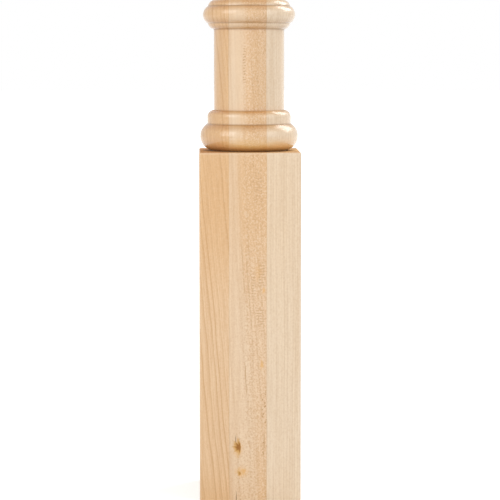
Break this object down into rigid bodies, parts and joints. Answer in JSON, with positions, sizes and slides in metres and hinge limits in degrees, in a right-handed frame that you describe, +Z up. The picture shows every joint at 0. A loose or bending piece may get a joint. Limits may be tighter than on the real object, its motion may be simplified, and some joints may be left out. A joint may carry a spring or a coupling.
{
  "type": "newel post",
  "caption": "Short square newel post with a round turned upper section: torus and ring at its foot, plain shaft, and a beaded collar cut off flat.",
  "frame": {"origin": "centre of the block's underside, on the axis of the turning, where the post stands on the floor", "axes": "+Z up along the axis of the turning, -Y out of the front face of the block, +X to the right of it"},
  "size_m": [0.0762, 0.0762, 0.3766],
  "materials": {
    "maple_left": "satin",
    "maple_middle": "satin",
    "maple_right": "satin"
  },
  "bodies": {
    "root": {"left_board": "maple_left", "middle_board": "maple_middle", "right_board": "maple_right"}
  },
  "joints": []
}
